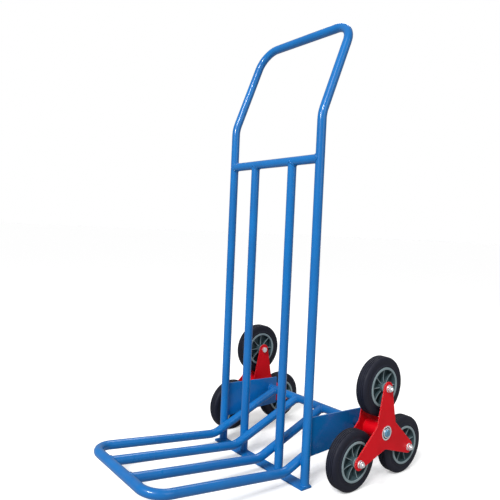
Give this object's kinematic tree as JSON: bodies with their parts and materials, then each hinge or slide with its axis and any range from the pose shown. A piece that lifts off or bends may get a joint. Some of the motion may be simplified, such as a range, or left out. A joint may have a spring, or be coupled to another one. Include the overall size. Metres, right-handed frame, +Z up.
{
  "type": "stair climbing hand truck",
  "caption": "Upright tube-frame hand truck with a looped handle, a toe rack of bars and star-shaped wheel clusters that turn over stair edges.",
  "frame": {"origin": "on the ground, midway between the uprights, in the middle of the foot bar's underside along X", "axes": "+X to the right seen from the load side, +Y back towards the wheels, +Z up along the uprights"},
  "size_m": [0.627, 0.851, 1.2785],
  "materials": {
    "frame_blue": "gloss powder coat",
    "star_red": "gloss powder coat",
    "zinc": "bright zinc plated",
    "bush_plastic": "moulded nylon",
    "tyre": "solid rubber",
    "rim_grey": "moulded, grey"
  },
  "bodies": {
    "frame": {"main_tube": "frame_blue", "upper_crossbar": "frame_blue", "inner_upright_left": "frame_blue", "inner_upright_right": "frame_blue", "foot_bar": "frame_blue", "toe_loop": "frame_blue", "toe_bar_left": "frame_blue", "toe_bar_right": "frame_blue", "axle_tube": "frame_blue", "side_plate_left": "frame_blue", "side_plate_right": "frame_blue", "axle": "frame_blue", "axle_sleeve_left": "frame_blue", "axle_sleeve_right": "frame_blue", "axle_washer_left": "zinc", "axle_washer_right": "zinc", "split_pin_left": "zinc", "split_pin_right": "zinc"},
    "star_left": {"star_outer_left": "star_red", "star_inner_left": "star_red", "hub_tube_left": "star_red", "hub_bushes_left": "bush_plastic", "wheel_bolts_left": "zinc", "wheel_nuts_left": "zinc", "bolt_washers_left": "zinc", "wheel_spacers_left": "zinc"},
    "star_right": {"star_outer_right": "star_red", "star_inner_right": "star_red", "hub_tube_right": "star_red", "hub_bushes_right": "bush_plastic", "wheel_bolts_right": "zinc", "wheel_nuts_right": "zinc", "bolt_washers_right": "zinc", "wheel_spacers_right": "zinc"},
    "wheel_left_top": {"tyre_left_top": "tyre", "rim_left_top": "rim_grey", "wheel_bush_left_top": "zinc"},
    "wheel_left_rear": {"tyre_left_rear": "tyre", "rim_left_rear": "rim_grey", "wheel_bush_left_rear": "zinc"},
    "wheel_left_front": {"tyre_left_front": "tyre", "rim_left_front": "rim_grey", "wheel_bush_left_front": "zinc"},
    "wheel_right_top": {"tyre_right_top": "tyre", "rim_right_top": "rim_grey", "wheel_bush_right_top": "zinc"},
    "wheel_right_rear": {"tyre_right_rear": "tyre", "rim_right_rear": "rim_grey", "wheel_bush_right_rear": "zinc"},
    "wheel_right_front": {"tyre_right_front": "tyre", "rim_right_front": "rim_grey", "wheel_bush_right_front": "zinc"}
  },
  "joints": [
    {"name": "star_left_turn", "type": "hinge", "parent": "frame", "child": "star_left", "pos_m": [-0.267, 0.196, 0.14425], "axis": [1, 0, 0], "continuous": true},
    {"name": "star_right_turn", "type": "hinge", "parent": "frame", "child": "star_right", "pos_m": [0.267, 0.196, 0.14425], "axis": [1, 0, 0], "continuous": true},
    {"name": "wheel_left_top_turn", "type": "hinge", "parent": "star_left", "child": "wheel_left_top", "pos_m": [-0.267, 0.196, 0.26775], "axis": [1, 0, 0], "continuous": true},
    {"name": "wheel_left_rear_turn", "type": "hinge", "parent": "star_left", "child": "wheel_left_rear", "pos_m": [-0.267, 0.30295, 0.0825], "axis": [1, 0, 0], "continuous": true},
    {"name": "wheel_left_front_turn", "type": "hinge", "parent": "star_left", "child": "wheel_left_front", "pos_m": [-0.267, 0.08905, 0.0825], "axis": [1, 0, 0], "continuous": true},
    {"name": "wheel_right_top_turn", "type": "hinge", "parent": "star_right", "child": "wheel_right_top", "pos_m": [0.267, 0.196, 0.26775], "axis": [1, 0, 0], "continuous": true},
    {"name": "wheel_right_rear_turn", "type": "hinge", "parent": "star_right", "child": "wheel_right_rear", "pos_m": [0.267, 0.30295, 0.0825], "axis": [1, 0, 0], "continuous": true},
    {"name": "wheel_right_front_turn", "type": "hinge", "parent": "star_right", "child": "wheel_right_front", "pos_m": [0.267, 0.08905, 0.0825], "axis": [1, 0, 0], "continuous": true}
  ]
}
